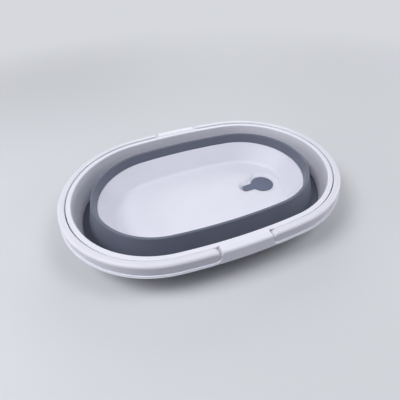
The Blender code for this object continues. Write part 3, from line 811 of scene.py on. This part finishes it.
def handle_grids(sign):
    """The grids of one handle: the bar, as sections at directions round its end, with its
    underside raised into the hollows, and two knuckles. A knuckle's rows turn from the upper
    half section to the lower one round the hinge line."""
    bar_end = math.acos((hinge_x + BAR_STOP) / side_radius)
    solid = math.acos((hinge_x + KNUCKLE_LENGTH) / side_radius)
    edges = np.interp([*np.linspace(0, join, POCKETS + 1), solid], arc_turns, arc_lengths)
    slope_length = (2 * knuckle_radius - WALL) / STEEP
    starts, ends = edges[:-1] + RIB / 2, edges[1:] - RIB / 2
    stops = np.concatenate([starts, starts + slope_length, ends - slope_length, ends])
    last = np.interp(bar_end, arc_turns, arc_lengths)
    lengths = np.unique(np.concatenate([np.linspace(0, last, BAR_SECTIONS), stops]))
    lengths = np.concatenate([-lengths[:0:-1], lengths])
    turns = np.sign(lengths) * np.interp(np.abs(lengths), arc_lengths, arc_turns)

    width = np.concatenate([top_half[:, 0], bottom_half[-2:0:-1, 0]])[:, None]
    reach = np.concatenate([top_half[:, 1], -bottom_half[-2:0:-1, 1]])[:, None]
    height = np.broadcast_to(hinge_z + reach, (len(width), len(turns))).copy()
    along = np.abs(lengths)[None, :, None]
    inside = np.minimum(along - starts, ends - along).max(axis=-1)
    across = np.minimum(width - WALL, HANDLE_WIDTH - WALL - width)
    rise = np.clip(np.minimum(inside, across) * STEEP, 0, 2 * knuckle_radius - WALL)
    height += np.where(reach < -knuckle_radius + SAME, rise, 0)
    x, y = oval(turns[None, :] + (0 if sign > 0 else math.pi), HANDLE_SET_IN + width)
    grids = [(np.stack([x, y, height], axis=-1), (True, False))]

    swing = np.linspace(0, math.pi, SWING_STEPS + 1)
    blend = (swing / math.pi)[:, None]
    wide = top_half[:, 0] * (1 - blend) + bottom_half[:, 0] * blend
    far = top_half[:, 1] * (1 - blend) + bottom_half[:, 1] * blend
    past, up = far * np.sin(swing)[:, None], far * np.cos(swing)[:, None]
    knuckle_x = hinge_x - past
    knuckle_y = side_y(HANDLE_SET_IN + wide, knuckle_x)
    for way in (-1, 1):
        swung = np.stack([sign * knuckle_x, way * knuckle_y, hinge_z + up], axis=-1)
        grids.append((swung, (False, False)))
        column = grids[0][0][:, -1 if (way > 0) == (sign > 0) else 0]
        seam = np.concatenate([swung[0], swung[-1][-2:0:-1]])
        grids.append((np.stack([column, seam]), (False, True)))
    return grids


pin_outline = rounded(
    [
        (0, handle_in - PIN_SEAT, 0),
        (PIN_RADIUS, handle_in - PIN_SEAT, EDGE / 2),
        (PIN_RADIUS, ridge_out + BOSS_REACH - GAP, EDGE / 2),
        (0, ridge_out + BOSS_REACH - GAP, 0),
    ]
)
for sign, end in ((-1, "left"), (1, "right")):
    handle = make_piece(f"handle_{end}_bar", handle_grids(sign), handle_white)
    stand_for(handle, f"handle_{end}", f"{end}_handle")
    for way, side in ((-1, "front"), (1, "back")):
        name = f"hinge_pin_{end}_{side}"
        pin = make_piece(f"{name}_turned", [(rod(pin_outline, sign, way), (False, True))], rim_white)
        stand_for(pin, name, f"{end}_handle")

# Studio. A plain pale floor, six soft boxes and the camera at the photograph's viewing angle.
# The floor and the air look pale where they are seen or mirrored, but throw little light back.
# Away from the tub the floor passes into the colour of the air, so that no horizon shows.

CAMERA_PLACE = (-0.1330, -0.3609, 0.3591)  # fitted to the tub's edges in the photograph
CAMERA_RIGHT = (0.93404, -0.35571, -0.03240)
CAMERA_DOWN = (-0.26217, -0.62115, -0.73854)
CAMERA_AHEAD = (0.24258, 0.69832, -0.67343)
LENS_MM, SENSOR_MM = 26.25, 36
FLOOR_SIDE = 12.0
BACKDROP = "D6D8DD"
SWEEP_START, SWEEP_END = 0.5, 1.4  # where the floor passes into the backdrop
SOFT_BOXES = {  # place, side and power
    "key_box": ((-0.9, -0.1, 1.35), 0.7, 14.4),
    "fill_box": ((0.7, -0.5, 1.4), 0.6, 6.8),
    "back_box": ((0.54, 1.18, 0.84), 1.0, 5.6),
    "left_box": ((-1.6, 0.2, 0.5), 1.0, 8.0),
    "right_box": ((1.6, -0.3, 0.5), 1.0, 8.8),
    "front_box": ((0.0, -1.6, 0.5), 1.0, 1.5),
}


def seen_share(tree):
    """An output that is 1 for rays from the camera, from gloss or through glass, and else 0."""
    rays = add_node(tree, "ShaderNodeLightPath").outputs
    camera_or_gloss = add_node(
        tree,
        "ShaderNodeMath",
        {0: rays["Is Camera Ray"], 1: rays["Is Glossy Ray"]},
        operation="MAXIMUM",
    ).outputs["Value"]
    return add_node(
        tree,
        "ShaderNodeMath",
        {0: camera_or_gloss, 1: rays["Is Transmission Ray"]},
        operation="MAXIMUM",
    ).outputs["Value"]


def pale_to_the_eye(tree, seen, thrown):
    """A colour output that is `seen` for the rays of seen_share, and `thrown` for the light that
    the surface throws on others."""
    colours = {0: seen_share(tree), 6: linear(thrown), 7: linear(seen)}
    return add_node(tree, "ShaderNodeMix", colours, data_type="RGBA").outputs[2]


floor_corners = [(x * FLOOR_SIDE / 2, y * FLOOR_SIDE / 2, 0) for x, y in corners]
floor_mesh = bpy.data.meshes.new("floor")
floor_mesh.from_pydata(floor_corners, [], [(0, 2, 3, 1)])
floor = bpy.data.objects.new("floor", floor_mesh)
bpy.context.scene.collection.objects.link(floor)
floor_paint = bpy.data.materials.new("pale_floor")
floor_paint.use_nodes = True
paint = floor_paint.node_tree
paint_shader = paint.nodes["Principled BSDF"]
paint.links.new(pale_to_the_eye(paint, "D6D8DC", "94949C"), paint_shader.inputs["Base Color"])
paint_shader.inputs["Roughness"].default_value = 0.7
spot = add_node(paint, "ShaderNodeTexCoord").outputs["Object"]
away = add_node(paint, "ShaderNodeVectorMath", {0: spot}, operation="LENGTH").outputs["Value"]
far = add_node(
    paint,
    "ShaderNodeMapRange",
    {"Value": away, "From Min": SWEEP_START, "From Max": SWEEP_END},
    interpolation_type="SMOOTHSTEP",
).outputs["Result"]
sweep = add_node(paint, "ShaderNodeMath", {0: far, 1: seen_share(paint)}, operation="MULTIPLY")
backdrop = add_node(paint, "ShaderNodeEmission", {"Color": linear(BACKDROP)})
blend = add_node(
    paint,
    "ShaderNodeMixShader",
    {0: sweep.outputs["Value"], 1: paint_shader.outputs["BSDF"], 2: backdrop.outputs["Emission"]},
)
paint.links.new(blend.outputs["Shader"], paint.nodes["Material Output"].inputs["Surface"])
floor_mesh.materials.append(floor_paint)

air = bpy.data.worlds.new("studio_air")
air.use_nodes = True
air_light = air.node_tree.nodes["Background"]
air.node_tree.links.new(
    pale_to_the_eye(air.node_tree, BACKDROP, "303440"), air_light.inputs["Color"]
)
bpy.context.scene.world = air

for name, (place, side, power) in SOFT_BOXES.items():
    lamp = bpy.data.lights.new(name, "AREA")
    lamp.size, lamp.energy = side, power
    box = bpy.data.objects.new(name, lamp)
    box.location = place
    box.rotation_euler = (-Vector(place)).to_track_quat("-Z", "Y").to_euler()
    bpy.context.scene.collection.objects.link(box)

camera_data = bpy.data.cameras.new("camera")
camera_data.lens, camera_data.sensor_width = LENS_MM, SENSOR_MM
camera = bpy.data.objects.new("camera", camera_data)
axes = np.array([CAMERA_RIGHT, CAMERA_DOWN, CAMERA_AHEAD]) * [[1], [-1], [-1]]
camera.matrix_world = Matrix.Translation(CAMERA_PLACE) @ Matrix(axes.T.tolist()).to_4x4()
bpy.context.scene.collection.objects.link(camera)
bpy.context.scene.camera = camera
bpy.context.scene.view_settings.view_transform = "Standard"
